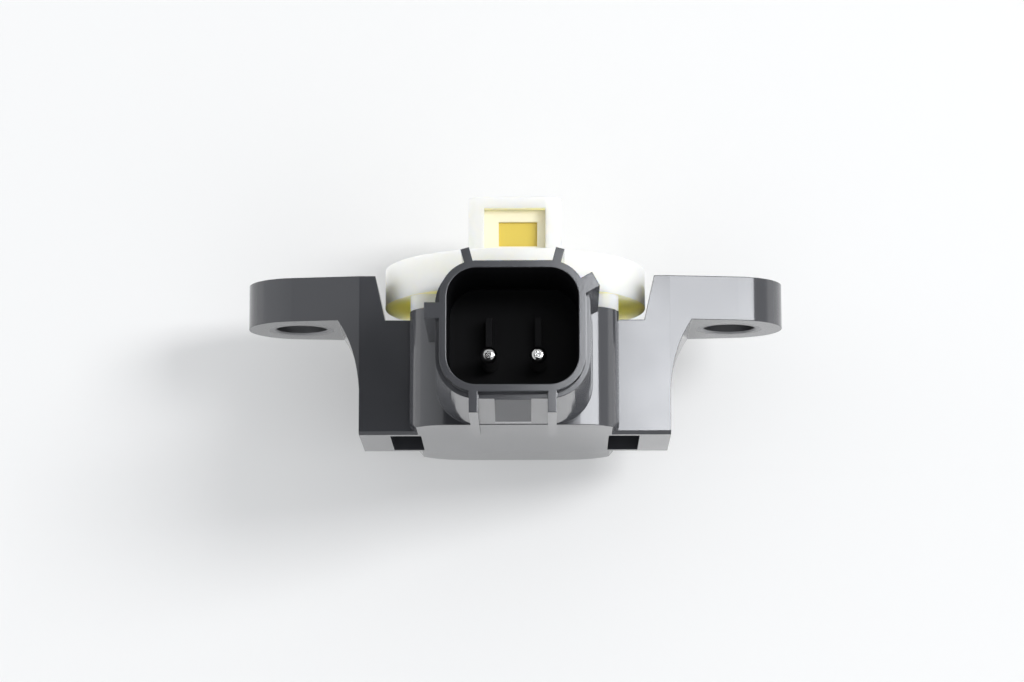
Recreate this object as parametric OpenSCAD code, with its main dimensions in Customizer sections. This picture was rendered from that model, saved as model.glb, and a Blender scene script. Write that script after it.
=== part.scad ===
// Crash sensor: a moulded housing with a two-pin socket and two bolt ears,
// closed by a pale port cover whose tower lets the outside pressure in.
// The origin is midway between the bolt holes, on the top faces of the ears.
// The socket opens towards -Y, and the bolts run along Z.

/* [Mounting ears] */
// Distance between the two bolt holes
hole_spacing = 52; // [48:0.5:58]
// Bore of each steel compression limiter
limiter_bore = 6.2; // [5.2:0.1:6.6]
// Wall of each limiter
limiter_wall = 0.8; // [0.6:0.1:1.2]
// Radius of the rounded end of each ear
ear_r = 6.4; // [5.8:0.1:7.2]
// Thickness of each ear
ear_t = 5.3; // [4:0.1:7]

/* [Body] */
// Height from the flat bottom to the top of the ears
body_h = 19.2; // [18:0.1:22]
// Width of the body across X
body_w = 24.8; // [24:0.1:26]
// Reach of the body in front of the bolt line
body_front = 15.2; // [14:0.1:17]
// Reach of the body behind the bolt line
body_back = 15.2; // [14:0.1:18]
// Radius of the front upright corners
front_corner_r = 4.6; // [3:0.1:6]
// Radius of the back upright corners
back_corner_r = 6.5; // [3:0.1:8]
// Width across the two wings that carry the ears
wing_span = 37.2; // [36:0.1:39]
// Depth of the wings along Y
wing_l = 14.8; // [13.5:0.1:17]
// Height of the wing tops between the ears
ledge_h = 13.8; // [12.5:0.1:14]
// Width between the ears at their tops
notch_top_w = 33.4; // [32.6:0.1:34.4]
// Width between the ears at the wing tops
notch_floor_w = 31; // [29:0.1:32]
// Height where the wing sides start to flare out into the ears
flare_h = 5.5; // [3:0.1:9]
// How far the flare runs out under each ear
flare_out = 2.6; // [1.5:0.1:3]
// Chamfer along the bottom edges of the wings
wing_chamfer = 0.4; // [0.2:0.1:1.5]
// Chamfer along the bottom side edges of the body
body_chamfer = 0.9; // [0.3:0.1:1.2]
// Width of the solid foot at the outer side of each wing
foot_w = 3.7; // [3:0.1:4.5]
// Depth along Y of the recess under each wing
pocket_l = 12; // [6:0.1:12.4]
// Height of the recess under each wing
pocket_h = 7.5; // [4:0.1:11]
// How far each recess reaches in under the side of the body
pocket_in = 1.2; // [0:0.1:1.2]
// Height of the top of the body, which carries the cover
rim_h = 14.1; // [14:0.1:15]
// Thickness of the floor of the body
floor_t = 1.8; // [1.4:0.1:2.4]
// Bore of the body above the board
chamber_d = 20.8; // [20.4:0.1:21.4]
// Width of the ledge that the board lies on
board_ledge = 1.2; // [0.8:0.1:1.4]

/* [Socket] */
// Distance from the bolt line to the mouth of the socket
mouth_reach = 31; // [28:0.5:36]
// Width of the shroud at its mouth
shroud_w = 16.6; // [16:0.1:18]
// Height of the shroud at its mouth
shroud_h = 15; // [14.4:0.1:15.2]
// Height of the top of the shroud above the bottom
shroud_top_h = 16.5; // [16.2:0.1:17]
// Outer corner radius of the shroud at its mouth
shroud_r = 4.2; // [3:0.1:5]
// Wall of the shroud at its mouth
shroud_wall = 0.8; // [0.6:0.05:1.1]
// Length of the slimmer lip at the mouth
lip_l = 1.2; // [0.6:0.1:3]
// Step from the lip out to the sides of the shroud
lip_step = 0.5; // [0.2:0.05:0.7]
// How much each side of the shroud moves out from mouth to body
shroud_draft = 0.4; // [0.2:0.05:0.6]
// Step from the lip down to the underside of the shroud
low_step = 0.65; // [0.3:0.05:1]
// Gap between the shroud and the overhanging disc of the cover
disc_gap = 0.3; // [0.2:0.05:0.6]
// Depth of the socket
socket_depth = 14; // [10:0.5:16]
// Distance between the two pins
pin_pitch = 5.7; // [5:0.1:6.4]
// Diameter of each pin
pin_d = 2; // [1.2:0.1:2.3]
// Length of each pin inside the socket
pin_l = 7.4; // [5:0.1:10]
// Height of the pins above the bottom
pin_h = 6.8; // [6.2:0.1:7]
// Width of the guide fin above each pin
fin_w = 0.8; // [0.6:0.1:1.2]
// Height of each guide fin
fin_h = 3.8; // [2:0.1:4.6]
// Reach of each guide fin from the socket floor
fin_l = 3; // [1:0.1:6]

/* [Keys and latch] */
// Thickness of each coding rib
key_t = 1; // [0.8:0.1:1.4]
// Height of the upper ribs
top_key_h = 1.6; // [1:0.05:2]
// Distance of the upper ribs from the middle at their feet
top_key_x = 5; // [3.5:0.1:5.4]
// Outward lean of the upper ribs in degrees
top_key_lean = 15; // [0:1:25]
// Distance of the lower ribs from the middle
bottom_key_x = 4.45; // [3.6:0.05:5]
// Depth of the lower ribs below the bottom of the body
bottom_key_depth = 0.9; // [0.4:0.05:1.2]
// Reach of the lower ribs behind the front of the body
bottom_key_back = 3.2; // [0:0.1:6]
// Width of the side keys
side_key_w = 1.8; // [1.2:0.1:2.2]
// How far the side keys stand out of the shroud
side_key_h = 1.2; // [0.6:0.1:1.6]
// Height of the left side key above the bottom
left_key_h = 10.8; // [8:0.1:12]
// Angle of the right side key around its corner in degrees
right_key_turn = 29; // [20:1:45]
// Drop of the right side key below the middle of its corner
right_key_drop = 0.35; // [0:0.05:0.8]
// Width of the latch ramp
ramp_w = 4.1; // [3:0.1:5]
// Depth of the crest of the ramp below the bottom of the body
ramp_depth = 1.05; // [0.4:0.05:1.2]
// Length of the slope of the ramp
ramp_l = 5; // [3:0.1:7]
// Length of the flat crest of the ramp
crest_l = 1; // [0.6:0.1:2]

/* [Port cover] */
// Diameter of the disc
disc_d = 31.6; // [30.6:0.1:31.8]
// Thickness of the disc
disc_t = 4.6; // [3.5:0.1:6]
// Height of the neck between the body and the disc
neck_h = 2.3; // [1.8:0.1:3]
// Depth of the neck along Y
neck_l = 21.6; // [21.4:0.1:24]
// Corner radius of the neck
neck_r = 2; // [1:0.1:3]
// Length of the spigot in the bore of the body
spigot_l = 2.6; // [2.4:0.1:2.8]
// Wall of the spigot
spigot_wall = 2; // [1.8:0.1:2.4]
// Width of the tower
tower_w = 11.3; // [10:0.1:13]
// Depth of the tower along Y
tower_l = 10; // [9:0.1:12]
// Height of the tower above the disc
tower_h = 8.4; // [7:0.1:10]
// Corner radius of the tower
tower_r = 2; // [1:0.1:3]
// Width of the inlet window
window_w = 7.4; // [6:0.1:8]
// Height of the inlet window
window_h = 5.2; // [4:0.1:5.6]
// Height of the window sill above the disc
window_sill = 1.8; // [1:0.1:2.2]
// Depth of the window
window_depth = 2.2; // [1.6:0.1:2.6]
// Thickness of the filter frame in the window
filter_t = 0.8; // [0.6:0.1:1.2]
// Thickness of the membrane inside the frame
membrane_t = 0.3; // [0.2:0.1:0.5]
// Bore of the duct down to the pressure sensor
duct_d = 2.4; // [1.6:0.1:2.6]
// Wall of the duct below the disc
duct_wall = 1.6; // [1.2:0.1:2]

/* [Electronics] */
// Thickness of the circuit board
board_t = 1.2; // [0.8:0.1:1.6]
// Gap around the circuit board
board_gap = 0.2; // [0.1:0.05:0.3]
// Height of the ledge that the board lies on, above the bottom
board_h = 8.2; // [8:0.1:8.6]
// Side of the square pressure sensor case
sensor_w = 5.4; // [5.2:0.1:6]
// Height of the pressure sensor case
sensor_h = 1.6; // [1.2:0.1:1.8]
// Diameter of the chimney on the sensor case
chimney_d = 3.6; // [3.2:0.1:4]
// Height of the chimney
chimney_h = 0.8; // [0.5:0.1:1]
// Width of the interface chip
chip_w = 3; // [2.6:0.1:3.4]
// Length of the interface chip
chip_l = 5; // [4:0.1:5.4]
// Height of the interface chip
chip_h = 1.2; // [0.9:0.1:1.3]

/* [Hidden] */
$fn = 64;
eps = 0.01;
black = [0.09, 0.09, 0.10];
cream = [0.93, 0.91, 0.82];
amber = [0.90, 0.72, 0.25];
rubber = [0.55, 0.20, 0.12];
steel = [0.72, 0.73, 0.75];
tin = [0.80, 0.80, 0.80];
board_green = [0.10, 0.36, 0.22];
chip_black = [0.13, 0.13, 0.14];

// Heights above the flat bottom are turned into Z here
function up(h) = h - body_h;

ear_x = hole_spacing / 2;
limiter_r = limiter_bore / 2 + limiter_wall;
ear_low_h = body_h - ear_t;
chamber_r = chamber_d / 2;
well_r = chamber_r - board_ledge;
shroud_back = body_front - 1;
socket_floor = mouth_reach - socket_depth;
lip_low_h = shroud_top_h - shroud_h;
shroud_low_h = lip_low_h - low_step;
lip_rise = 0.15;
roof_h = shroud_top_h - lip_rise;
shroud_side_x = shroud_w / 2 + lip_step;
shroud_side_r = shroud_r + lip_step;
socket_mid_h = lip_low_h + shroud_h / 2;
disc_low_h = rim_h + neck_h;
disc_top_h = disc_low_h + disc_t;
cover_gap = 0.15;
spigot_r = chamber_r - cover_gap;
groove_h = 1.4;
groove_d = 1;
board_top_h = board_h + board_t;
board_r = chamber_r - board_gap;
sensor_top_h = board_top_h + sensor_h;
duct_foot_h = sensor_top_h + chimney_h + 0.4;
gel_d = 2.4;
gel_floor = 0.5;
die_w = 1.2;
die_h = 0.4;
leg_l = 0.9;
leg_w = 0.4;
leg_t = 0.15;
leg_pitch = chip_l / 4;
tail_w = 1.2;
tail_t = 0.8;
tail_y = 7.6;
tail_end_h = board_top_h + 1;
pin_x = pin_pitch / 2;
solder_r = 1.3;
bead_w = 2.4;
bead_h = 0.6;
sealant_margin = 1.8;
sealant_l = 1.6;
sealant_below = 1.4;
sealant_x = pin_x + sealant_margin;
sealant_back = well_r + sealant_l;
sealant_low_h = pin_h - sealant_below;

// Outline helpers: every round stretch is a true arc

module rounded_box(w, h, r) {
    square([w - 2 * r, h], center = true);
    square([w, h - 2 * r], center = true);
    for (sx = [-1, 1], sy = [-1, 1])
        translate([sx * (w / 2 - r), sy * (h / 2 - r)]) circle(r);
}

// Extrudes an outline drawn in X and Z from y_back towards the socket mouth
module towards_mouth(y_back, length) {
    translate([0, y_back, 0]) rotate([90, 0, 0]) linear_extrude(length) children();
}

// Extrudes an outline drawn in Y and Z along X
module along_x(x_from, length) {
    translate([x_from, 0, 0]) rotate([90, 0, 90]) linear_extrude(length) children();
}

module both_sides() {
    children();
    mirror([1, 0, 0]) children();
}

// Housing

// Body between its flat bottom and its top, with the bottom side edges cut back
module body_block() {
    half = body_w / 2;
    c = body_chamfer;
    intersection() {
        translate([0, 0, up(0)]) linear_extrude(rim_h) body_outline();
        translate([0, 0, up(0)]) towards_mouth(body_back, body_back + body_front) polygon([
            [-half + c, 0], [half - c, 0], [half, c], [half, rim_h], [-half, rim_h], [-half, c]
        ]);
    }
}

module body_outline() {
    half = body_w / 2;
    fr = front_corner_r;
    br = back_corner_r;
    polygon([
        [-half + fr, -body_front], [half - fr, -body_front],
        [half, -body_front + fr], [half, body_back - br],
        [half - br, body_back], [-half + br, body_back],
        [-half, body_back - br], [-half, -body_front + fr]
    ]);
    for (s = [-1, 1]) {
        translate([s * (half - fr), -body_front + fr]) circle(fr);
        translate([s * (half - br), body_back - br]) circle(br);
    }
}

// Point where a line from p touches the upper side of the round ear end
function touch_point(p) =
    let (
        dx = ear_x - p[0],
        dist = norm([dx, p[1]]),
        reach = sqrt(dist * dist - ear_r * ear_r),
        turn = atan2(-p[1], dx) + asin(ear_r / dist)
    )
    [p[0] + reach * cos(turn), p[1] + reach * sin(turn)];

module ear_outline() {
    root = [wing_span / 2, wing_l / 2];
    touch = touch_point(root);
    polygon([
        [0, root[1]], root, touch,
        [touch[0], -touch[1]], [root[0], -root[1]], [0, -root[1]]
    ]);
    translate([ear_x, 0]) circle(ear_r);
}

// Side of the wing from its foot up into the ear, a curve with one control point
function flare(t) =
    let (
        foot = [wing_span / 2, flare_h],
        bend = [wing_span / 2 + 0.12 * flare_out, flare_h + 0.6 * (ear_low_h - flare_h)],
        ear = [wing_span / 2 + flare_out, ear_low_h]
    )
    (1 - t) * (1 - t) * foot + 2 * t * (1 - t) * bend + t * t * ear;

module wing_profile() {
    inner = 0.4 * body_w;
    polygon(concat(
        [[inner, 0], [wing_span / 2, 0]],
        [for (i = [0 : 8]) flare(i / 8)],
        [
            [ear_x + 2 * ear_r, ear_low_h], [ear_x + 2 * ear_r, body_h],
            [notch_top_w / 2, body_h], [notch_floor_w / 2, ledge_h], [inner, ledge_h]
        ]
    ));
}

// Chamfers run along the lower front and back edges of the wing
module wing_side_profile() {
    half = wing_l / 2;
    c = wing_chamfer;
    polygon([
        [-half + c, 0], [half - c, 0], [half, c], [half, body_h],
        [-half, body_h], [-half, c]
    ]);
}

module wing() {
    intersection() {
        translate([0, 0, up(0)]) towards_mouth(wing_l / 2, wing_l) wing_profile();
        translate([0, 0, up(0)]) along_x(0, ear_x + 2 * ear_r) wing_side_profile();
        translate([0, 0, up(0)]) linear_extrude(body_h) ear_outline();
    }
}

module wing_pocket() {
    x0 = body_w / 2 - pocket_in;
    x1 = wing_span / 2 - foot_w;
    translate([x0, -pocket_l / 2, up(0) - eps]) cube([x1 - x0, pocket_l, pocket_h + eps]);
}

// Slice of the shroud between two heights
module shroud_section(w, low_h, high_h, r, y, thick) {
    translate([0, 0, up((low_h + high_h) / 2)])
        towards_mouth(y, thick) rounded_box(w, high_h - low_h, r);
}

// The sides and the underside move out evenly from the step behind the lip to the body
module shroud_outer() {
    y_step = -mouth_reach + lip_l;
    root_w = 2 * (shroud_side_x + shroud_draft);
    shroud_section(shroud_w, lip_low_h, shroud_top_h, shroud_r, y_step + 1, lip_l + 1);
    hull() {
        shroud_section(2 * shroud_side_x, shroud_low_h, roof_h, shroud_side_r,
            y_step + eps, eps, $fn = 48);
        shroud_section(root_w, 0, roof_h, shroud_side_r, -shroud_back, eps, $fn = 48);
    }
}

module socket_section(y, thick) {
    shroud_section(shroud_w - 2 * shroud_wall, lip_low_h + shroud_wall,
        shroud_top_h - shroud_wall, shroud_r - shroud_wall, y, thick);
}

module top_key() {
    root = 0.6;
    length = mouth_reach - shroud_back;
    translate([top_key_x, -shroud_back, up(roof_h)]) rotate([0, top_key_lean, 0])
        translate([-key_t / 2, -length, -root]) cube([key_t, length, top_key_h + root]);
}

module bottom_key() {
    length = mouth_reach - body_front + bottom_key_back;
    translate([bottom_key_x - key_t / 2, -mouth_reach, up(-bottom_key_depth)])
        cube([key_t, length, bottom_key_depth + lip_low_h + shroud_wall / 2]);
}

module left_key() {
    root = 0.6;
    length = mouth_reach - shroud_back;
    translate([-shroud_side_x - side_key_h, -mouth_reach, up(left_key_h) - side_key_w / 2])
        cube([side_key_h + root, length, side_key_w]);
}

// Sits on the rounded upper corner, turned around that corner's centre
module right_key() {
    root = 0.6;
    length = mouth_reach - shroud_back;
    translate([shroud_side_x - shroud_side_r, -mouth_reach, up(shroud_top_h - shroud_side_r)])
        rotate([0, -right_key_turn, 0])
            translate([shroud_side_r - root, 0, -side_key_w / 2 - right_key_drop])
                cube([side_key_h + root, length, side_key_w]);
}

module latch_ramp() {
    base = lip_low_h;
    y0 = -mouth_reach + lip_l;
    y1 = y0 + ramp_l;
    y2 = y1 + crest_l;
    translate([0, 0, up(0)]) along_x(-ramp_w / 2, ramp_w) polygon([
        [y0, base], [y0, shroud_low_h - 0.1], [y1, -ramp_depth], [y2, -ramp_depth],
        [y2 + ramp_depth + base, base]
    ]);
}

module guide_fins() {
    h0 = pin_h + pin_d / 2 + 0.3;
    for (s = [-1, 1])
        translate([s * pin_x - fin_w / 2, -socket_floor - fin_l, up(h0)])
            cube([fin_w, fin_l + eps, fin_h]);
}

// Room for the neck and the disc of the cover, which overhang the root of the shroud
module disc_clearance() {
    translate([0, 0, up(disc_low_h - disc_gap)])
        cylinder(r = disc_d / 2 + disc_gap, h = disc_t + tower_h);
    translate([0, 0, up(rim_h)]) linear_extrude(disc_t)
        rounded_box(body_w + 2 * disc_gap, neck_l + 2 * disc_gap, neck_r);
}

module board_well() {
    translate([0, 0, up(board_h)]) cylinder(r = chamber_r, h = rim_h - board_h + eps);
    translate([0, 0, up(floor_t)]) cylinder(r = well_r, h = board_h - floor_t + eps);
}

module sealant_pocket() {
    translate([-sealant_x, -sealant_back, up(sealant_low_h)])
        cube([2 * sealant_x, sealant_back - tail_y, board_h - sealant_low_h]);
}

module housing() color(black) difference() {
    union() {
        body_block();
        both_sides() wing();
        difference() {
            union() {
                shroud_outer();
                both_sides() top_key();
                both_sides() bottom_key();
                left_key();
                right_key();
                latch_ramp();
            }
            socket_section(-socket_floor, socket_depth + eps);
            disc_clearance();
        }
        guide_fins();
    }
    board_well();
    sealant_pocket();
    both_sides() wing_pocket();
    for (s = [-1, 1]) {
        translate([s * ear_x, 0, -ear_t - eps]) cylinder(r = limiter_r, h = ear_t + 2 * eps);
        terminal_shape(s);
    }
}

// Port cover

module duct_tube() {
    translate([0, 0, up(duct_foot_h)])
        cylinder(d = duct_d + 2 * duct_wall, h = disc_top_h - duct_foot_h);
}

module window_cut() {
    translate([0, 0, up(disc_top_h + window_sill + window_h / 2)])
        towards_mouth(-tower_l / 2 + window_depth, window_depth + eps)
            square([window_w, window_h], center = true);
}

module duct_bore() {
    top_h = disc_top_h + window_sill + 0.8 * window_h;
    translate([0, 0, up(duct_foot_h) - eps])
        cylinder(d = duct_d, h = top_h - duct_foot_h + eps);
    translate([0, 0, up(disc_top_h + window_sill + window_h / 2)])
        towards_mouth(duct_d / 2, tower_l / 2 + duct_d / 2 - window_depth + eps)
            square([0.6 * window_w, 0.62 * window_h], center = true);
}

module port_cover() color(cream) difference() {
    union() {
        translate([0, 0, up(disc_low_h)]) cylinder(d = disc_d, h = disc_t);
        translate([0, 0, up(rim_h)]) linear_extrude(neck_h + eps)
            rounded_box(body_w, neck_l, neck_r);
        translate([0, 0, up(rim_h - spigot_l)]) cylinder(r = spigot_r, h = spigot_l + eps);
        translate([0, 0, up(disc_top_h - eps)]) linear_extrude(tower_h + eps)
            rounded_box(tower_w, tower_l, tower_r);
        duct_tube();
    }
    difference() {
        translate([0, 0, up(rim_h - spigot_l) - eps])
            cylinder(r = spigot_r - spigot_wall, h = spigot_l + neck_h + disc_t / 2 + eps);
        duct_tube();
    }
    seal_groove();
    window_cut();
    duct_bore();
}

module seal_groove() {
    mid_h = rim_h - spigot_l / 2;
    translate([0, 0, up(mid_h - groove_h / 2)]) difference() {
        cylinder(r = spigot_r + 1, h = groove_h);
        translate([0, 0, -eps]) cylinder(r = spigot_r - groove_d, h = groove_h + 2 * eps);
    }
}

// Seal between the spigot and the bore of the housing
module cover_seal() color(rubber) {
    mid_h = rim_h - spigot_l / 2;
    inner = spigot_r - groove_d;
    low = 0.05;
    high = groove_h - low;
    c = 0.3;
    translate([0, 0, up(mid_h - groove_h / 2)]) rotate_extrude()
        polygon([
            [inner, low], [chamber_r - c, low], [chamber_r, low + c],
            [chamber_r, high - c], [chamber_r - c, high], [inner, high]
        ]);
}

// Membrane frame that closes the inlet window against water
module inlet_filter() color(amber) {
    y_back = -tower_l / 2 + window_depth;
    translate([0, 0, up(disc_top_h + window_sill + window_h / 2)]) difference() {
        towards_mouth(y_back, filter_t) square([window_w, window_h], center = true);
        towards_mouth(y_back - membrane_t, filter_t) translate([0.05 * window_w, -0.07 * window_h])
            square([0.63 * window_w, 0.58 * window_h], center = true);
    }
}

// Ring that joins the duct to the chimney of the pressure sensor
module duct_seal() color(rubber) {
    translate([0, 0, up(sensor_top_h)]) difference() {
        cylinder(d = duct_d + 2 * duct_wall - 0.4, h = duct_foot_h - sensor_top_h);
        translate([0, 0, -eps]) cylinder(d = chimney_d, h = duct_foot_h - sensor_top_h + 2 * eps);
    }
}

// Steel compression limiters

module limiter(s) {
    c = limiter_wall / 4;
    r0 = limiter_bore / 2;
    translate([s * ear_x, 0, -ear_t]) rotate_extrude()
        polygon([
            [r0, c], [r0 + c, 0], [limiter_r, 0], [limiter_r, ear_t],
            [r0 + c, ear_t], [r0, ear_t - c]
        ]);
}

module limiter_left() color(steel) limiter(-1);
module limiter_right() color(steel) limiter(1);

// Terminals: a domed pin in the socket, a flat tail that turns up through the board

module terminal_shape(s) {
    r = pin_d / 2;
    dome = 0.6;
    translate([s * pin_x, -socket_floor + 1, up(pin_h)]) rotate([90, 0, 0]) rotate_extrude()
        polygon(concat(
            [[0, 0], [r, 0]],
            [for (i = [0 : 6]) let (a = 15 * i)
                [r - dome + dome * cos(a), pin_l + 1 - dome + dome * sin(a)]],
            [[0, pin_l + 1]]
        ));
    translate([s * pin_x - tail_w / 2, -socket_floor + 1 - eps, up(pin_h) - tail_t / 2])
        cube([tail_w, socket_floor - 1 - tail_y + tail_t / 2 + eps, tail_t]);
    translate([s * pin_x - tail_w / 2, -tail_y - tail_t / 2, up(pin_h) - tail_t / 2])
        cube([tail_w, tail_t, tail_end_h - pin_h + tail_t / 2]);
}

module terminal_left() color(tin) terminal_shape(-1);
module terminal_right() color(tin) terminal_shape(1);

// Sealing compound around the tails where they enter the well
module terminal_sealant() color([0.16, 0.20, 0.30]) difference() {
    sealant_pocket();
    translate([0, 0, up(0)]) cylinder(r = well_r, h = body_h);
    for (s = [-1, 1]) terminal_shape(s);
}

module terminal_solder() color(tin) for (s = [-1, 1]) {
    translate([s * pin_x, -tail_y, up(board_top_h)]) difference() {
        cylinder(r1 = solder_r, r2 = 0.75 * solder_r, h = 0.6);
        translate([-tail_w / 2, -tail_t / 2, -eps]) cube([tail_w, tail_t, 1]);
    }
}

// Circuit board and its parts

module circuit_board() color(board_green) difference() {
    translate([0, 0, up(board_h)]) cylinder(r = board_r, h = board_t);
    for (s = [-1, 1])
        translate([s * pin_x, -tail_y, up(board_h) - eps])
            cylinder(d = 1.7, h = board_t + 2 * eps);
}

// Places a part on the board, by shares of the board's radius
module on_board(along, across) {
    translate([along * board_r, across * board_r, up(board_top_h)]) children();
}

module sensor_case() color(chip_black) on_board(0, 0) difference() {
    union() {
        translate([-sensor_w / 2, -sensor_w / 2, 0]) cube([sensor_w, sensor_w, sensor_h]);
        cylinder(d = chimney_d, h = sensor_h + chimney_h);
    }
    translate([0, 0, gel_floor]) cylinder(d = gel_d, h = sensor_h + chimney_h);
}

module sensor_die() color([0.45, 0.47, 0.55]) on_board(0, 0)
    translate([-die_w / 2, -die_w / 2, gel_floor]) cube([die_w, die_w, die_h]);

module sensor_gel() color([0.75, 0.82, 0.88]) on_board(0, 0) difference() {
    translate([0, 0, gel_floor]) cylinder(d = gel_d, h = sensor_h);
    translate([-die_w / 2, -die_w / 2, gel_floor - eps]) cube([die_w, die_w, die_h + eps]);
}

// Moulded chip with four bent legs on each side
module interface_chip() color(chip_black) on_board(-0.6, 0.12) {
    foot_x = chip_w / 2 + leg_l / 2 - leg_t;
    translate([-chip_w / 2, -chip_l / 2, leg_t]) cube([chip_w, chip_l, chip_h]);
    for (s = [-1, 1], i = [-1.5 : 1.5]) {
        translate([s * foot_x - leg_l / 2, i * leg_pitch - leg_w / 2, 0]) cube([leg_l, leg_w, leg_t]);
        translate([s * (chip_w + leg_t) / 2 - leg_t, i * leg_pitch - leg_w / 2, 0])
            cube([2 * leg_t, leg_w, chip_h / 2 + leg_t]);
    }
}

module chip_part(w, l, h) {
    translate([-w / 2, -l / 2, 0]) cube([w, l, h]);
}

module protection_diode() color(chip_black) on_board(0.6, -0.25) chip_part(1.8, 2.8, 1.1);
module ferrite_bead() color([0.24, 0.24, 0.26]) on_board(0.55, 0.12) chip_part(1.3, 2, 1);
module buffer_capacitor() color([0.80, 0.62, 0.25]) on_board(0.3, 0.48) chip_part(3.5, 2.2, 1.6);

module bypass_capacitors() color([0.62, 0.50, 0.38])
    for (i = [0 : 2]) on_board(-0.45 + 0.2 * i, 0.62) chip_part(0.9, 1.6, 0.8);

module chip_resistors() color([0.15, 0.15, 0.18])
    for (i = [0 : 2]) on_board(-0.63 + 0.16 * i, -0.4) chip_part(0.8, 1.6, 0.45);

// Beads of adhesive that hold the edge of the board in the chamber
module board_adhesive() color([0.85, 0.83, 0.75]) intersection() {
    translate([0, 0, up(board_top_h)]) difference() {
        cylinder(r = chamber_r, h = bead_h);
        translate([0, 0, -eps]) cylinder(r = board_r - bead_h, h = 2 * bead_h);
    }
    for (a = [30, 150, 270])
        rotate([0, 0, a]) translate([board_r - bead_w, -bead_w / 2, up(board_top_h) - eps])
            cube([2 * bead_w, bead_w, 2 * bead_h]);
}

housing();
port_cover();
cover_seal();
inlet_filter();
duct_seal();
limiter_left();
limiter_right();
terminal_left();
terminal_right();
terminal_sealant();
terminal_solder();
circuit_board();
sensor_case();
sensor_die();
sensor_gel();
interface_chip();
protection_diode();
ferrite_bead();
buffer_capacitor();
bypass_capacitors();
chip_resistors();
board_adhesive();
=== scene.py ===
"""Looks of a crash sensor: a black moulded housing with a two-pin socket and two bolt ears, closed by
a cream port cover. Lengths are in metres, and a name that ends in _mm or _MM holds millimetres."""

import math

import bpy
import numpy as np
from mathutils import Matrix, Vector


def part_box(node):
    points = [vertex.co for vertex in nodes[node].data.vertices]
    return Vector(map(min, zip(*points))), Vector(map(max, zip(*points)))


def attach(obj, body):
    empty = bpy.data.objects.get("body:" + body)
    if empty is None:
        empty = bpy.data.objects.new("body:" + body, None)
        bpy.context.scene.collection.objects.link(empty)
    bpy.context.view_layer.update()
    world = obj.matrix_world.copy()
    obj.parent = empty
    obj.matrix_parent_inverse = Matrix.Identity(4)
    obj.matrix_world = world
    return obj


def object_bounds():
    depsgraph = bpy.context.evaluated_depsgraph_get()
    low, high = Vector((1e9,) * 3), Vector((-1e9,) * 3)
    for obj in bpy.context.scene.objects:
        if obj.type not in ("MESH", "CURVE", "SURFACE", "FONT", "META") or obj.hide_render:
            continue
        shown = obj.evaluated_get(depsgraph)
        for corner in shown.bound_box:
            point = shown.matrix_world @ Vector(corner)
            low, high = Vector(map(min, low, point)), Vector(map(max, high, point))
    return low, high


MM = 0.001

# Camera, fitted to the bolt holes, the ears, the body and the mouth of the socket; angles in degrees
CAMERA_TARGET_MM = (-0.40, 0.0, -6.68)
CAMERA_DISTANCE_MM = 427.0
CAMERA_YAW = -0.615
CAMERA_PITCH = 9.69
CAMERA_ROLL = -0.066
CAMERA_LENS_MM = 123.4
CAMERA_SENSOR_MM = 36.0
CAMERA_CLIP = (0.01, 20.0)

# Inside of the socket, which gets painted shade, with a little room: half its width, its heights and its
# back
SOCKET_HALF_MM = 7.6
SOCKET_BOTTOM_MM = -16.95
SOCKET_TOP_MM = -3.4
SOCKET_BACK_MM = -16.9

# Room in front of the mouth, and how far behind the front of that room the plane of the mouth is passed
MOUTH_ROOM_MM = 0.05
MOUTH_STEP_MM = 0.2

# Height below which the cover is neck and no longer disc
DISC_FOOT_MM = -4.0

# Z of a normal below which it looks down, and the size of Z below which it looks sideways
LOOKS_DOWN = -0.7
LOOKS_SIDEWAYS = 0.5

# Shares of the filter's depth between which the colour turns from frame to membrane
FILTER_TURN = (0.45, 0.6)

# Half the width of the interface chip's case, without its legs
CHIP_CASE_HALF_MM = 1.52

# Printed strips of the board and the gaps between them: scale of the waves, and where their edges lie
STRIP_SCALE = 260.0
STRIP_EDGE = (0.72, 0.78)
GAP_SCALE = 130.0
GAP_EDGE = (0.35, 0.40)

# Size of the slow noise over that of the grain, and the scale on metal that stretches noise along Z
CLOUD_SIZE = 14.0
STREAK_SCALE = (1.0, 1.0, 0.15)

# Bond wires, which run along X from the die to the floor of the case; the tip is a share of the radius
WIRE_COUNT = 4
WIRE_STEPS = 13
WIRE_SIDES = 8
WIRE_RADIUS_MM = 0.018
WIRE_TIP = 0.02
WIRE_SPREAD_MM = 0.36
WIRE_FROM_MM = 0.48
WIRE_TO_MM = 0.95
WIRE_ARCH_MM = 0.35

# Stage: an upright table just behind the cover, with a hole behind the body, and a floor just below
STAGE_REACH_MM = 2500.0
TABLE_GAP_MM = 0.1
TABLE_HOLE_ACROSS_MM = (-10.5, 10.5)
TABLE_HOLE_UPWARD_MM = (-17.5, 0.0)
FLOOR_GAP_MM = 0.02

# Share of plain white in the stage, for the camera and in reflections; for the camera it rises to all white
# between the two distances from the object
TABLE_GLOW = 0.20
TABLE_MIRROR = 0.33
WHITE_FROM_MM = 120.0
WHITE_BY_MM = 400.0

# Studio that reflections show, and how much lighter it is at the far left
STUDIO_LEVEL = 0.55
LEFT_RISE = 0.25

# Unlit patch of the studio: each edge from where it starts to where it is full, as X or Z of the direction
# over its reach forward, and the least reach forward
UNLIT_LEFT = (-0.34, -0.16)
UNLIT_RIGHT = (0.20, 0.10)
UNLIT_BELOW = (-0.90, -0.60)
UNLIT_ABOVE = (0.26, 0.175)
UNLIT_FORWARD = 0.2

# Soft light on dull surfaces: its least strength and its rise, which follows SOFT_RIGHT times X less
# SOFT_ABOVE times Z of the direction over the span
SOFT_LEVEL = 0.49
SOFT_RISE = 0.50
SOFT_RIGHT = 0.95
SOFT_ABOVE = 0.3
SOFT_SPAN = (-0.7, 0.9)

# Point that the lamps face
LAMP_TARGET_MM = (0.0, 0.0, -6.0)

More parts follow.
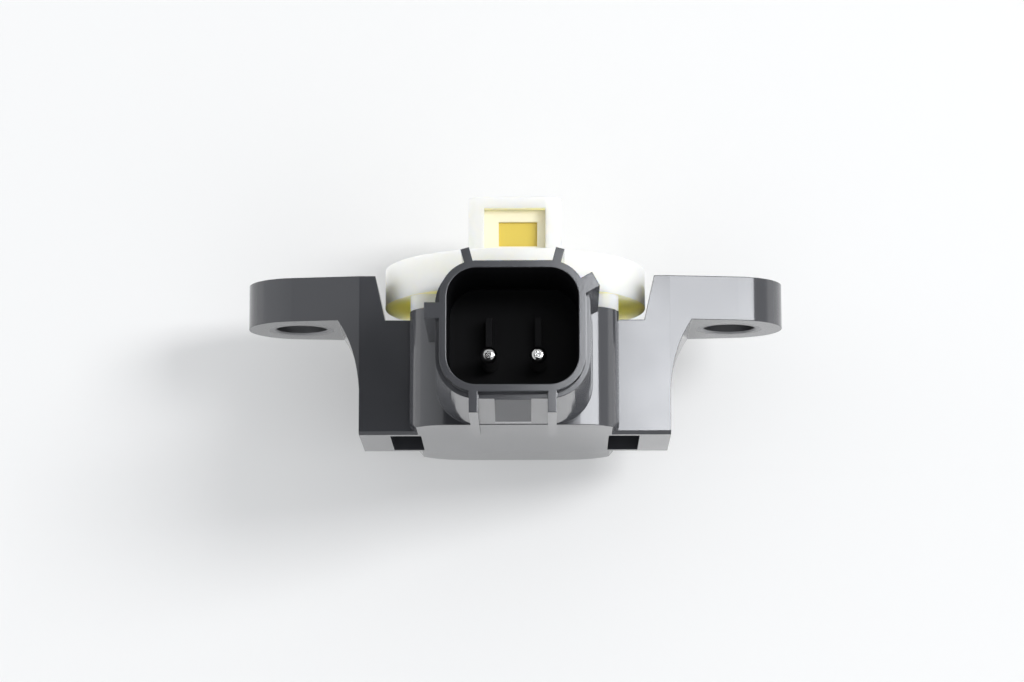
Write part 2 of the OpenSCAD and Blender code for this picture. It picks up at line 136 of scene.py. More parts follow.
# Colours, linear
WHITE = (1.0, 1.0, 1.0)
STAGE_WHITE = (0.90, 0.90, 0.90)
LAMP_COOL = (0.94, 0.96, 1.0)
STUDIO_COOL = (0.96, 0.98, 1.0)
BLACK_PLASTIC = (0.048, 0.049, 0.055)
# Painted shade: the housing's black, darkened for the inside of the deep socket
SOCKET_SHADED_BLACK = (0.0065, 0.0065, 0.0075)
CREAM_PLASTIC = (0.88, 0.87, 0.805)
# Painted shade: amber for the cover's shaded underside
PAINTED_AMBER_SHADE = (1.0, 0.88, 0.52)
FILTER_PALE = (0.93, 0.89, 0.68)
FILTER_AMBER = (0.75, 0.58, 0.08)
SEAL_RED = (0.42, 0.09, 0.05)
SEALANT_BLUE = (0.03, 0.045, 0.09)
TIN = (0.80, 0.79, 0.77)
DARK_STEEL = (0.27, 0.27, 0.28)
SOLDER_GREY = (0.68, 0.68, 0.69)
BOARD_GREEN = (0.012, 0.12, 0.05)
TRACK_GREEN = (0.03, 0.22, 0.09)
BOARD_EDGE = (0.55, 0.50, 0.30)
CHIP_BLACK = (0.022, 0.022, 0.024)
FERRITE_GREY = (0.06, 0.06, 0.065)
TANTALUM_AMBER = (0.62, 0.36, 0.05)
CERAMIC_TAN = (0.40, 0.27, 0.16)
ADHESIVE_PALE = (0.70, 0.67, 0.52)
SILICON_GREY = (0.30, 0.32, 0.40)
GEL_CLEAR = (0.86, 0.92, 0.95)
GOLD = (0.95, 0.68, 0.28)

# Chip parts with tinned ends: material, colour, turn to the part's length, and half the length between the
# ends in millimetres
CHIP_PARTS = {
    "protection_diode": ("diode_black", CHIP_BLACK, 0.0, 1.1),
    "ferrite_bead": ("ferrite_grey", FERRITE_GREY, 0.0, 0.7),
    "buffer_capacitor": ("tantalum_amber", TANTALUM_AMBER, math.pi / 2, 1.35),
    "bypass_capacitors": ("ceramic_tan", CERAMIC_TAN, 0.0, 0.5),
    "chip_resistors": ("resistor_black", CHIP_BLACK, 0.0, 0.5),
}


# Frame

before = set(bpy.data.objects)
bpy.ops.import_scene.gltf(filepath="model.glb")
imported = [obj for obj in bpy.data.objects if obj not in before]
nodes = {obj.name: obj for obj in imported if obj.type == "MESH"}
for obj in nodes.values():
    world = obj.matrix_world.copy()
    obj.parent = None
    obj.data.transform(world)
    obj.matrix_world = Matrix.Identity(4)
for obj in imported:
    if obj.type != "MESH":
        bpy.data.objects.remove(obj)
size_at_load = [list(corner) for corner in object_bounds()]
housing_low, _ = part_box("housing")
_, cover_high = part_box("port_cover")
_, die_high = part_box("sensor_die")
gel_low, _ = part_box("sensor_gel")


# Helpers for objects, meshes and nodes

def new_object(name, data):
    """An object in the scene, at the origin, that shows the data."""
    made = bpy.data.objects.new(name, data)
    bpy.context.scene.collection.objects.link(made)
    return made


def mesh_values(items, name, width=1, kind=float):
    """One property of all the items of a mesh: a number each, or a row of width numbers each."""
    flat = np.zeros(len(items) * width, kind)
    items.foreach_get(name, flat)
    return flat if width == 1 else flat.reshape(-1, width)


def add(tree, kind, inputs=None, **properties):
    """Adds a node of that kind, sets its properties, and gives its inputs values or links."""
    made = tree.nodes.new(kind)
    for name, value in properties.items():
        setattr(made, name, value)
    for name, value in (inputs or {}).items():
        if isinstance(value, bpy.types.NodeSocket):
            tree.links.new(value, made.inputs[name])
        else:
            made.inputs[name].default_value = value
    return made


def set_inputs(shader, values):
    """Sets plain values on a shader's own sockets."""
    for name, value in values.items():
        shader.inputs[name].default_value = value


def opaque(colour):
    """The colour with a full alpha, as a colour socket takes it."""
    return (*colour, 1.0)


def empty_material(name):
    """A material without nodes; gives the material and its tree."""
    material = bpy.data.materials.new(name)
    material.use_nodes = True
    material.node_tree.nodes.clear()
    return material, material.node_tree


def new_material(name):
    """A material with a Principled BSDF alone; gives the material, its tree and the shader."""
    material, tree = empty_material(name)
    shader = add(tree, "ShaderNodeBsdfPrincipled")
    add(tree, "ShaderNodeOutputMaterial", {"Surface": shader.outputs["BSDF"]})
    return material, tree, shader


def new_group(name, inputs, outputs):
    """A shader group with the named sockets; gives the group, its inputs and its output node."""
    group = bpy.data.node_groups.new(name, "ShaderNodeTree")
    for label, kind, value in inputs:
        socket = group.interface.new_socket(label, in_out="INPUT", socket_type=kind)
        if value is not None:
            socket.default_value = value
    for label, kind in outputs:
        group.interface.new_socket(label, in_out="OUTPUT", socket_type=kind)
    source = group.nodes.new("NodeGroupInput")
    sink = group.nodes.new("NodeGroupOutput")
    return group, source.outputs, sink


def place_group(tree, group, **values):
    """Places a group in a material, with spaces for the underscores of its socket names."""
    named = {name.replace("_", " "): value for name, value in values.items()}
    return add(tree, "ShaderNodeGroup", named, node_tree=group)


def arithmetic(tree, operation, first, second=0.0):
    """One Math node; gives its output socket."""
    made = add(tree, "ShaderNodeMath", {0: first, 1: second}, operation=operation)
    return made.outputs[0]


def blend_colours(tree, factor, first, second):
    """Mixes two colours, the first where the factor is 0; gives the colour socket."""
    made = add(tree, "ShaderNodeMix", {0: factor, 6: first, 7: second}, data_type="RGBA")
    return made.outputs[2]


def blend_shaders(tree, factor, first, second):
    """Mixes what two shader nodes put out, the first where the factor is 0; gives the mixing node."""
    return add(tree, "ShaderNodeMixShader", {0: factor, 1: first.outputs[0], 2: second.outputs[0]})


def rise(tree, value, start, end):
    """A smooth step from 0 at start to 1 at end, which may be the lower one; gives its output socket."""
    made = add(
        tree,
        "ShaderNodeMapRange",
        {"Value": value, "From Min": start, "From Max": end},
        interpolation_type="SMOOTHSTEP",
    )
    return made.outputs["Result"]


def object_place(tree):
    """The Object coordinate."""
    return add(tree, "ShaderNodeTexCoord").outputs["Object"]


def split(tree, vector):
    """The X, Y and Z sockets of a vector."""
    return add(tree, "ShaderNodeSeparateXYZ", {0: vector}).outputs


# Shared effects

def finish_group(name, size, depth, edge, roughness, spread):
    """Starts a group for a finish with its sockets and defaults; size and depth are a label and a value."""
    return new_group(
        name,
        [
            (size[0], "NodeSocketFloat", size[1]),
            (depth[0], "NodeSocketFloat", depth[1]),
            ("Edge Radius", "NodeSocketFloat", edge),
            ("Roughness", "NodeSocketFloat", roughness),
            ("Roughness Spread", "NodeSocketFloat", spread),
        ],
        [("Roughness", "NodeSocketFloat"), ("Normal", "NodeSocketVector")],
    )


def end_finish(group, given, sink, height, depth, cloud, edge_samples):
    """Ends a finish group: height as relief over softly rounded edges, and cloud as spread of roughness."""
    rounded = add(group, "ShaderNodeBevel", {"Radius": given["Edge Radius"]}, samples=edge_samples)
    relief = add(
        group,
        "ShaderNodeBump",
        {"Strength": 1.0, "Distance": depth, "Height": height, "Normal": rounded.outputs["Normal"]},
    )
    centred = arithmetic(group, "SUBTRACT", cloud, 0.5)
    spread = arithmetic(group, "MULTIPLY", centred, given["Roughness Spread"])
    rough = arithmetic(group, "ADD", given["Roughness"], spread)
    group.links.new(rough, sink.inputs["Roughness"])
    group.links.new(relief.outputs["Normal"], sink.inputs["Normal"])


def moulded_surface_group():
    """Grain of a moulded part: fine noise as relief, and slow noise as roughness."""
    group, given, sink = finish_group(
        "moulded_surface", ("Grain Size", 0.0003), ("Grain Depth", 0.00001), 0.0002, 0.3, 0.05
    )
    place = object_place(group)
    frequency = arithmetic(group, "DIVIDE", 1.0, given["Grain Size"])
    slower = arithmetic(group, "DIVIDE", frequency, CLOUD_SIZE)
    grain = add(group, "ShaderNodeTexNoise", {"Vector": place, "Scale": frequency, "Detail": 3.0})
    slow = add(group, "ShaderNodeTexNoise", {"Vector": place, "Scale": slower, "Detail": 2.0})
    end_finish(group, given, sink, grain.outputs["Fac"], given["Grain Depth"], slow.outputs["Fac"], 8)
    return group


def metal_finish_group():
    """Plated or drawn metal: noise stretched along Z, as faint relief and as cloudy roughness."""
    group, given, sink = finish_group(
        "metal_finish", ("Streak Size", 0.0002), ("Streak Depth", 0.000004), 0.0001, 0.25, 0.1
    )
    stretched = add(group, "ShaderNodeMapping", {"Vector": object_place(group), "Scale": STREAK_SCALE})
    frequency = arithmetic(group, "DIVIDE", 1.0, given["Streak Size"])
    streak = add(
        group,
        "ShaderNodeTexNoise",
        {"Vector": stretched.outputs["Vector"], "Scale": frequency, "Detail": 4.0},
    ).outputs["Fac"]
    end_finish(group, given, sink, streak, given["Streak Depth"], streak, 6)
    return group


def end_cap_group():
    """Mask of the two tinned ends of a chip part: 1 where the distance along Y passes Half."""
    group, given, sink = new_group(
        "end_caps",
        [("Place", "NodeSocketVector", None), ("Half", "NodeSocketFloat", 0.0005)],
        [("Mask", "NodeSocketFloat")],
    )
    away = arithmetic(group, "ABSOLUTE", split(group, given["Place"])["Y"])
    mask = arithmetic(group, "GREATER_THAN", away, given["Half"])
    group.links.new(mask, sink.inputs["Mask"])
    return group


moulded_surface = moulded_surface_group()
metal_finish = metal_finish_group()
end_caps = end_cap_group()


# Materials

def join_finish(tree, finish, shader):
    """Sends the roughness and the normal of a finish group to the shader."""
    for name in ("Roughness", "Normal"):
        tree.links.new(finish.outputs[name], shader.inputs[name])


def moulded_material(name, colour, roughness, grain_mm, depth_mm, edge_mm, spread=0.06):
    """An opaque moulded or cast material with the shared grain; gives the material, tree and shader."""
    material, tree, shader = new_material(name)
    finish = place_group(
        tree,
        moulded_surface,
        Grain_Size=grain_mm * MM,
        Grain_Depth=depth_mm * MM,
        Edge_Radius=edge_mm * MM,
        Roughness=roughness,
        Roughness_Spread=spread,
    )
    set_inputs(shader, {"Base Color": opaque(colour)})
    join_finish(tree, finish, shader)
    return material, tree, shader


def metal_material(name, colour, roughness, streak_mm, edge_mm):
    """A plated metal with the shared streaks."""
    material, tree, shader = new_material(name)
    finish = place_group(
        tree,
        metal_finish,
        Streak_Size=streak_mm * MM,
        Edge_Radius=edge_mm * MM,
        Roughness=roughness,
    )
    set_inputs(shader, {"Base Color": opaque(colour), "Metallic": 1.0})
    join_finish(tree, finish, shader)
    return material


def housing_material():
    """Glossy black glass-filled plastic with soft edges."""
    material, _, shader = moulded_material(
        "housing_black_plastic",
        BLACK_PLASTIC,
        roughness=0.12,
        grain_mm=0.35,
        depth_mm=0.0015,
        edge_mm=0.12,
        spread=0.05,
    )
    set_inputs(shader, {"Specular IOR Level": 1.0})
    return material


def socket_shade_material():
    """The same plastic inside the socket, where the mould is left rough, with its colour darkened as
    painted shade of the deep cavity.
    """
    material, _, shader = moulded_material(
        "socket_rough_painted_shade",
        SOCKET_SHADED_BLACK,
        roughness=0.55,
        grain_mm=0.3,
        depth_mm=0.006,
        edge_mm=0.1,
        spread=0.1,
    )
    set_inputs(shader, {"Specular IOR Level": 0.12})
    return material


def let_light_through(shader, radius, scale_mm):
    """Scatters all light inside the plastic; each colour travels its radius times the scale."""
    set_inputs(
        shader,
        {
            "Subsurface Weight": 1.0,
            "Subsurface Radius": radius,
            "Subsurface Scale": scale_mm * MM,
        },
    )


def cover_material():
    """Cream plastic that lets some light through."""
    material, _, shader = moulded_material(
        "cover_cream_plastic", CREAM_PLASTIC, roughness=0.38, grain_mm=0.5, depth_mm=0.003, edge_mm=0.30
    )
    let_light_through(shader, (1.0, 0.9, 0.65), 8.0)
    return material


def cover_shaded_underside_material():
    """The same plastic under the disc, where only light that has come through it is seen; its amber colour
    is painted shade of that shaded underside.
    """
    material, _, shader = moulded_material(
        "cover_painted_amber_shade", PAINTED_AMBER_SHADE, roughness=0.6, grain_mm=0.5, depth_mm=0.003, edge_mm=0.1
    )
    set_inputs(shader, {"Specular IOR Level": 0.1})
    let_light_through(shader, (1.0, 0.85, 0.35), 20.0)
    return material


def filter_material():
    """Pale frame around an amber membrane, which lies deeper in the window."""
    material, tree, shader = moulded_material(
        "filter_amber", FILTER_AMBER, roughness=0.4, grain_mm=0.4, depth_mm=0.004, edge_mm=0.12
    )
    filter_low, filter_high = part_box("inlet_filter")
    depth = filter_high.y - filter_low.y
    start, end = (filter_low.y + share * depth for share in FILTER_TURN)
    membrane = rise(tree, split(tree, object_place(tree))["Y"], start, end)
    coloured = blend_colours(tree, membrane, opaque(FILTER_PALE), opaque(FILTER_AMBER))
    tree.links.new(coloured, shader.inputs["Base Color"])
    return material


def middle_of(name):
    """The middle of a CAD node."""
    low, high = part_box(name)
    return (low + high) / 2


def chip_part_material(name, colour, middle, turn, half_mm):
    """A small chip part with tinned ends; the pattern is centred on the part and turned to its length."""
    material, tree, shader = moulded_material(
        name, colour, roughness=0.45, grain_mm=0.2, depth_mm=0.002, edge_mm=0.08
    )
    centred = add(
        tree,
        "ShaderNodeMapping",
        {"Vector": object_place(tree), "Location": middle, "Rotation": (0.0, 0.0, turn)},
        vector_type="TEXTURE",
    )
    ends = place_group(tree, end_caps, Place=centred.outputs["Vector"], Half=half_mm * MM)
    coloured = blend_colours(tree, ends.outputs["Mask"], opaque(colour), opaque(TIN))
    tree.links.new(coloured, shader.inputs["Base Color"])
    tree.links.new(ends.outputs["Mask"], shader.inputs["Metallic"])
    return material


def printed_bands(tree, place, direction, scale, edge):
    """Even bands across a direction: 1 on the crests of a wave, 0 in its troughs, with a soft edge."""
    wave = add(
        tree,
        "ShaderNodeTexWave",
        {"Vector": place, "Scale": scale, "Distortion": 0.0},
        wave_type="BANDS",
        bands_direction=direction,
    )
    return rise(tree, wave.outputs["Fac"], *edge)


def board_material():
    """Green solder mask with lighter copper tracks in short slanting strips, and a bare edge."""
    material, tree, shader = moulded_material(
        "board_green_mask", BOARD_GREEN, roughness=0.30, grain_mm=0.3, depth_mm=0.003, edge_mm=0.08
    )
    place = object_place(tree)
    strips = printed_bands(tree, place, "DIAGONAL", STRIP_SCALE, STRIP_EDGE)
    gaps = printed_bands(tree, place, "X", GAP_SCALE, GAP_EDGE)
    tracks = arithmetic(tree, "MULTIPLY", strips, gaps)
    facing = split(tree, add(tree, "ShaderNodeNewGeometry").outputs["True Normal"])
    side = arithmetic(tree, "LESS_THAN", arithmetic(tree, "ABSOLUTE", facing["Z"]), LOOKS_SIDEWAYS)
    printed = blend_colours(tree, tracks, opaque(BOARD_GREEN), opaque(TRACK_GREEN))
    coloured = blend_colours(tree, side, printed, opaque(BOARD_EDGE))
    tree.links.new(coloured, shader.inputs["Base Color"])
    return material


def interface_chip_material():
    """Black chip case; the legs beside it are tin."""
    material, tree, shader = moulded_material(
        "chip_black_case", CHIP_BLACK, roughness=0.42, grain_mm=0.15, depth_mm=0.002, edge_mm=0.08
    )
    chip_low, chip_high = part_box("interface_chip")
    middle = (chip_low.x + chip_high.x) / 2
    from_middle = arithmetic(tree, "SUBTRACT", split(tree, object_place(tree))["X"], middle)
    away = arithmetic(tree, "ABSOLUTE", from_middle)
    legs = arithmetic(tree, "GREATER_THAN", away, CHIP_CASE_HALF_MM * MM)
    coloured = blend_colours(tree, legs, opaque(CHIP_BLACK), opaque(TIN))
    tree.links.new(coloured, shader.inputs["Base Color"])
    tree.links.new(legs, shader.inputs["Metallic"])
    return material


def gel_material():
    """Clear soft gel over the sensor die."""
    material, _, shader = new_material("sensor_gel_clear")
    set_inputs(
        shader,
        {
            "Base Color": opaque(GEL_CLEAR),
            "Roughness": 0.05,
            "IOR": 1.4,
            "Transmission Weight": 1.0,
        },
    )
    return material


def silicon_material():
    """Polished silicon."""
    material, _, shader = new_material("die_silicon")
    set_inputs(shader, {"Base Color": opaque(SILICON_GREY), "Metallic": 1.0, "Roughness": 0.12})
    return material


def shade_cover(mesh):
    """Gives the faces under the disc the amber painted shade: those that look down and lie above its foot.
    """
    mesh.materials.append(cover_shaded_underside_material())
    facing = mesh_values(mesh.polygons, "normal", 3)
    middle = mesh_values(mesh.polygons, "center", 3)
    under = (facing[:, 2] < LOOKS_DOWN) & (middle[:, 2] > DISC_FOOT_MM * MM)
    mesh.polygons.foreach_set("material_index", under.astype(int))


def shade_socket(mesh):
    """Gives the faces inside the socket the rough plastic with painted shade: those whose corners all lie
    in the cavity, and not all of them in the plane of the mouth."""
    mesh.materials.append(socket_shade_material())
    corners = mesh_values(mesh.vertices, "co", 3) / MM
    front = housing_low.y / MM - MOUTH_ROOM_MM
    low = (-SOCKET_HALF_MM, front, SOCKET_BOTTOM_MM)
    high = (SOCKET_HALF_MM, SOCKET_BACK_MM, SOCKET_TOP_MM)
    inside = np.all((corners > low) & (corners < high), axis=1)
    behind = corners[:, 1] > front + MOUTH_STEP_MM
    loops = mesh_values(mesh.loops, "vertex_index", kind=int)
    starts = mesh_values(mesh.polygons, "loop_start", kind=int)
    lined = np.logical_and.reduceat(inside[loops], starts)
    lined &= np.logical_or.reduceat(behind[loops], starts)
    mesh.polygons.foreach_set("material_index", lined.astype(int))


def dress_nodes():
    """Gives each CAD node its material."""
    rubber, _, _ = moulded_material(
        "seal_red_rubber", SEAL_RED, roughness=0.55, grain_mm=0.4, depth_mm=0.006, edge_mm=0.1
    )
    sealant, _, _ = moulded_material(
        "sealant_blue", SEALANT_BLUE, roughness=0.25, grain_mm=1.2, depth_mm=0.02, edge_mm=0.2
    )
    adhesive, _, _ = moulded_material(
        "adhesive_pale", ADHESIVE_PALE, roughness=0.4, grain_mm=1.0, depth_mm=0.02, edge_mm=0.2
    )
    chip_case, _, _ = moulded_material(
        "sensor_black_case", CHIP_BLACK, roughness=0.42, grain_mm=0.15, depth_mm=0.002, edge_mm=0.1
    )
    tin = metal_material("terminal_tin", TIN, roughness=0.09, streak_mm=0.25, edge_mm=0.06)
    steel = metal_material("limiter_dark_steel", DARK_STEEL, roughness=0.38, streak_mm=0.3, edge_mm=0.08)
    solder = metal_material("solder_grey", SOLDER_GREY, roughness=0.28, streak_mm=0.5, edge_mm=0.1)
    looks = {
        "housing": housing_material(),
        "port_cover": cover_material(),
        "cover_seal": rubber,
        "inlet_filter": filter_material(),
        "duct_seal": rubber,
        "limiter_left": steel,
        "limiter_right": steel,
        "terminal_left": tin,
        "terminal_right": tin,
        "terminal_sealant": sealant,
        "terminal_solder": solder,
        "circuit_board": board_material(),
        "board_adhesive": adhesive,
        "sensor_case": chip_case,
        "sensor_die": silicon_material(),
        "sensor_gel": gel_material(),
        "interface_chip": interface_chip_material(),
    }
    for part, (name, colour, turn, half_mm) in CHIP_PARTS.items():
        looks[part] = chip_part_material(name, colour, middle_of(part), turn, half_mm)
    for name, material in looks.items():
        mesh = nodes[name].data
        mesh.materials.clear()
        mesh.materials.append(material)
    # Painted shade inside the socket
    shade_socket(nodes["housing"].data)
    # Painted shade under the cover's disc
    shade_cover(nodes["port_cover"].data)


# New pieces

def add_surface(name, points, quads, material, body="root"):
    """Makes a smooth mesh object from an array of points and an array of quads, riding on a body."""
    mesh = bpy.data.meshes.new(name)
    mesh.from_pydata(points.tolist(), [], quads.tolist())
    mesh.polygons.foreach_set("use_smooth", np.ones(len(quads), bool))
    mesh.materials.append(material)
    mesh.update()
    made = new_object(name, mesh)
    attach(made, body)
    return made


def swept_tubes(paths, radius, sides):
    """Tubes along many paths at once: each ring is centre + radius (cos t side + sin t raised), where side
    is level and square to the path, and raised is square to both. The ends narrow nearly to a point."""
    paths = np.asarray(paths, float)
    count, length, _ = paths.shape
    along = np.gradient(paths, axis=1)
    along /= np.linalg.norm(along, axis=2, keepdims=True)
    side = np.cross(along, [0.0, 0.0, 1.0])
    side /= np.linalg.norm(side, axis=2, keepdims=True)
    raised = np.cross(side, along)
    turn = np.linspace(0, 2 * np.pi, sides, endpoint=False)
    swell = np.ones(length)
    swell[[0, -1]] = WIRE_TIP
    ring = (
        np.cos(turn)[None, None, :, None] * side[:, :, None, :]
        + np.sin(turn)[None, None, :, None] * raised[:, :, None, :]
    )
    points = paths[:, :, None, :] + radius * swell[None, :, None, None] * ring
    index = np.arange(count * length * sides).reshape(count, length, sides)
    nearer, farther = index[:, :-1], index[:, 1:]
    quads = np.stack(
        [nearer, np.roll(nearer, -1, 2), np.roll(farther, -1, 2), farther], axis=-1
    ).reshape(-1, 4)
    return points.reshape(-1, 3), quads


def add_bond_wires():
    """Gold wires from the die to the floor of the sensor case: with t from 0 to 1, X moves out evenly and Z
    falls with t squared from the top of the die to the foot of the gel, plus a half sine arch."""
    along = np.linspace(0, 1, WIRE_STEPS)
    spread = np.linspace(-WIRE_SPREAD_MM, WIRE_SPREAD_MM, WIRE_COUNT) * MM
    start = WIRE_FROM_MM * MM
    end = WIRE_TO_MM * MM
    fall = die_high.z + (gel_low.z - die_high.z) * along ** 2
    paths = np.zeros((WIRE_COUNT, WIRE_STEPS, 3))
    paths[:, :, 0] = start + (end - start) * along
    paths[:, :, 1] = spread[:, None]
    paths[:, :, 2] = fall + WIRE_ARCH_MM * MM * np.sin(np.pi * along)
    points, quads = swept_tubes(paths, WIRE_RADIUS_MM * MM, WIRE_SIDES)
    gold = metal_material("bond_gold", GOLD, roughness=0.2, streak_mm=0.1, edge_mm=0.01)
    return add_surface("bond_wires", points, quads, gold)


# Stage, lamps and camera

def far_share(tree):
    """0 around the object and 1 far from it, where the stage fades to plain white."""
    away = add(tree, "ShaderNodeVectorMath", {0: object_place(tree)}, operation="LENGTH")
    return rise(tree, away.outputs["Value"], WHITE_FROM_MM * MM, WHITE_BY_MM * MM)


def stage_material(name, camera_only):
    """White from its front and clear from behind. The camera and reflections see it partly as plain white,
    which thins the shadows as a bright table does. It is clear for shadows too, or with camera_only for
    every ray but the camera's."""
    material, tree = empty_material(name)
    rays = add(tree, "ShaderNodeLightPath").outputs
    behind = add(tree, "ShaderNodeNewGeometry").outputs["Backfacing"]
    white = add(tree, "ShaderNodeBsdfDiffuse", {"Color": opaque(STAGE_WHITE)})
    glow = add(tree, "ShaderNodeEmission", {"Color": opaque(WHITE), "Strength": 1.0})
    clear = add(tree, "ShaderNodeBsdfTransparent")
    plain = arithmetic(tree, "MAXIMUM", far_share(tree), TABLE_GLOW)
    watched = arithmetic(tree, "MULTIPLY", rays["Is Camera Ray"], plain)
    mirrored = arithmetic(tree, "MULTIPLY", rays["Is Glossy Ray"], TABLE_MIRROR)
    glowing = arithmetic(tree, "MAXIMUM", watched, mirrored)
    missed = rays["Is Shadow Ray"]
    if camera_only:
        missed = arithmetic(tree, "SUBTRACT", 1.0, rays["Is Camera Ray"])
    hidden = arithmetic(tree, "MAXIMUM", behind, missed)
    seen = blend_shaders(tree, glowing, white, glow)
    whole = blend_shaders(tree, hidden, seen, clear)
    add(tree, "ShaderNodeOutputMaterial", {"Surface": whole.outputs[0]})
    return material


def stage_sheet(name, points, quads, material):
    """A flat stage object."""
    mesh = bpy.data.meshes.new(name)
    mesh.from_pydata(points.tolist(), [], quads)
    mesh.materials.append(material)
    made = new_object(name, mesh)
    return made


def add_stage():
    """The table, a grid of three by three quads without its middle, and the floor, one quad."""
    reach = STAGE_REACH_MM * MM
    table_y = cover_high.y + TABLE_GAP_MM * MM
    hole_left, hole_right = np.array(TABLE_HOLE_ACROSS_MM) * MM
    hole_bottom, hole_top = np.array(TABLE_HOLE_UPWARD_MM) * MM
    across = np.array([-reach, hole_left, hole_right, reach])
    upward = np.array([-reach, hole_bottom, hole_top, reach])
    grid_x, grid_z = np.meshgrid(across, upward, indexing="ij")
    points = np.stack([grid_x, np.full_like(grid_x, table_y), grid_z], axis=-1).reshape(-1, 3)
    quads = [
        (4 * i + j, 4 * i + 4 + j, 4 * i + 5 + j, 4 * i + 1 + j)
        for i in range(3)
        for j in range(3)
        if (i, j) != (1, 1)
    ]
    stage_sheet("stage_table", points, quads, stage_material("stage_table_white", camera_only=False))
    floor_z = size_at_load[0][2] - FLOOR_GAP_MM * MM
    corners = np.array([[-1, -1], [1, -1], [1, 1], [-1, 1]]) * reach
    points = np.column_stack([corners, np.full(4, floor_z)])
    floor_white = stage_material("stage_floor_white", camera_only=True)
    stage_sheet("stage_floor", points, [(0, 1, 2, 3)], floor_white)


def add_softbox(name, azimuth, elevation, distance, width, height, radiance, colour=WHITE):
    """A rectangular lamp that faces the object and that the camera doesn't see. The angles are in degrees:
    azimuth 0 is the side of the socket, and 90 is +X."""
    around, above = math.radians(azimuth), math.radians(elevation)
    outward = Vector(
        (math.sin(around) * math.cos(above), -math.cos(around) * math.cos(above), math.sin(above))
    )
    lamp = bpy.data.lights.new(name, "AREA")
    lamp.shape = "RECTANGLE"
    lamp.size, lamp.size_y = width, height
    lamp.energy = radiance * math.pi * width * height
    lamp.color = colour
    made = new_object(name, lamp)
    made.location = Vector(LAMP_TARGET_MM) * MM + outward * distance
    made.rotation_mode = "QUATERNION"
    made.rotation_quaternion = outward.to_track_quat("Z", "Y")
    made.visible_camera = False
    return made


def add_lamps():
    """A long low softbox at the front right and a narrow strip make the bright reflections. A key near the
    first lights what is dull and draws the shadow to the left, and weaker ones fill the other sides."""
    mirrored = (
        add_softbox(
            "lamp_main",
            azimuth=28.0,
            elevation=8.2,
            distance=0.65,
            width=0.640,
            height=0.105,
            radiance=7.4,
            colour=LAMP_COOL,
        ),
        add_softbox(
            "lamp_strip",
            azimuth=3.1,
            elevation=8.2,
            distance=0.73,
            width=0.034,
            height=0.118,
            radiance=2.9,
            colour=LAMP_COOL,
        ),
    )
    for lamp in mirrored:
        lamp.visible_diffuse = False
    soft = (
        add_softbox(
            "lamp_key",
            azimuth=40,
            elevation=11.5,
            distance=1.10,
            width=0.41,
            height=0.25,
            radiance=18.0,
        ),
        add_softbox(
            "lamp_fill_left",
            azimuth=-92,
            elevation=12,
            distance=0.70,
            width=0.40,
            height=0.40,
            radiance=4.8,
        ),
    )
    for lamp in soft:
        lamp.visible_glossy = False
    add_softbox(
        "lamp_top", azimuth=10, elevation=75, distance=0.80, width=0.70, height=0.60, radiance=0.2
    )
    add_softbox(
        "lamp_back", azimuth=205, elevation=35, distance=0.80, width=0.60, height=0.40, radiance=0.8
    )


def soft_light(tree, direction):
    """Strength of the light on dull surfaces, which is strongest from the lower right."""
    slope = arithmetic(
        tree,
        "SUBTRACT",
        arithmetic(tree, "MULTIPLY", direction["X"], SOFT_RIGHT),
        arithmetic(tree, "MULTIPLY", direction["Z"], SOFT_ABOVE),
    )
    added = arithmetic(tree, "MULTIPLY", rise(tree, slope, *SOFT_SPAN), SOFT_RISE)
    return arithmetic(tree, "ADD", SOFT_LEVEL, added)


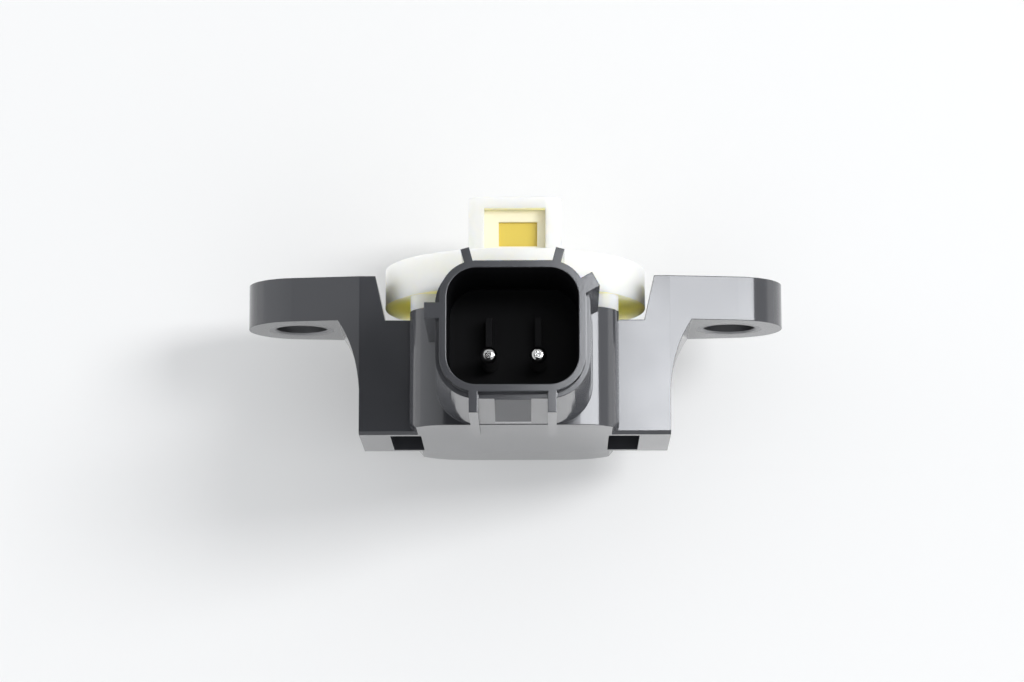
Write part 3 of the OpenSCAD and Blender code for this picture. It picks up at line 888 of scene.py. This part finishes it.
def mirrored_studio(tree, direction):
    """Strength that reflections show: grey, lighter towards the left, and dark in the unlit patch in front,
    whose mask is the product of its four edges and of a reach forward."""
    forward = arithmetic(tree, "MULTIPLY", direction["Y"], -1.0)
    across = arithmetic(tree, "DIVIDE", direction["X"], forward)
    upward = arithmetic(tree, "DIVIDE", direction["Z"], forward)
    unlit = arithmetic(tree, "GREATER_THAN", forward, UNLIT_FORWARD)
    for place, edge in (
        (across, UNLIT_LEFT),
        (across, UNLIT_RIGHT),
        (upward, UNLIT_BELOW),
        (upward, UNLIT_ABOVE),
    ):
        unlit = arithmetic(tree, "MULTIPLY", unlit, rise(tree, place, *edge))
    leftward = rise(tree, direction["X"], 0.0, -1.0)
    lit = arithmetic(tree, "ADD", STUDIO_LEVEL, arithmetic(tree, "MULTIPLY", leftward, LEFT_RISE))
    return arithmetic(tree, "MULTIPLY", lit, arithmetic(tree, "SUBTRACT", 1.0, unlit))


def set_world():
    """White for the camera, the mirrored studio for reflections, and the soft light for all other rays."""
    world = bpy.data.worlds.new("studio")
    bpy.context.scene.world = world
    world.use_nodes = True
    tree = world.node_tree
    tree.nodes.clear()
    rays = add(tree, "ShaderNodeLightPath").outputs
    direction = split(tree, add(tree, "ShaderNodeTexCoord").outputs["Generated"])
    strength = add(
        tree,
        "ShaderNodeMix",
        {
            "Factor": rays["Is Glossy Ray"],
            "A": soft_light(tree, direction),
            "B": mirrored_studio(tree, direction),
        },
    ).outputs[0]
    studio = add(tree, "ShaderNodeBackground", {"Color": opaque(STUDIO_COOL), "Strength": strength})
    white = add(tree, "ShaderNodeBackground", {"Color": opaque(WHITE), "Strength": 1.0})
    whole = blend_shaders(tree, rays["Is Camera Ray"], studio, white)
    add(tree, "ShaderNodeOutputWorld", {"Surface": whole.outputs[0]})


def add_camera():
    """Camera at the photograph's angle, below the bolt plane and looking up along +Y."""
    yaw, pitch = math.radians(CAMERA_YAW), math.radians(CAMERA_PITCH)
    forward = Vector(
        (math.sin(yaw) * math.cos(pitch), math.cos(yaw) * math.cos(pitch), math.sin(pitch))
    )
    right = Vector((math.cos(yaw), -math.sin(yaw), 0.0))
    upward = right.cross(forward)
    turn = Matrix((right, upward, -forward)).transposed()
    roll = Matrix.Rotation(math.radians(CAMERA_ROLL), 3, "Z")
    lens = bpy.data.cameras.new("camera")
    lens.sensor_width = CAMERA_SENSOR_MM
    lens.lens = CAMERA_LENS_MM
    lens.clip_start, lens.clip_end = CAMERA_CLIP
    made = new_object("camera", lens)
    made.location = Vector(CAMERA_TARGET_MM) * MM - forward * CAMERA_DISTANCE_MM * MM
    made.rotation_mode = "QUATERNION"
    made.rotation_quaternion = (turn @ roll).to_quaternion()
    bpy.context.scene.camera = made


# Scene

dress_nodes()
add_bond_wires()
add_stage()
add_lamps()
set_world()
add_camera()
bpy.context.scene.view_settings.view_transform = "Standard"
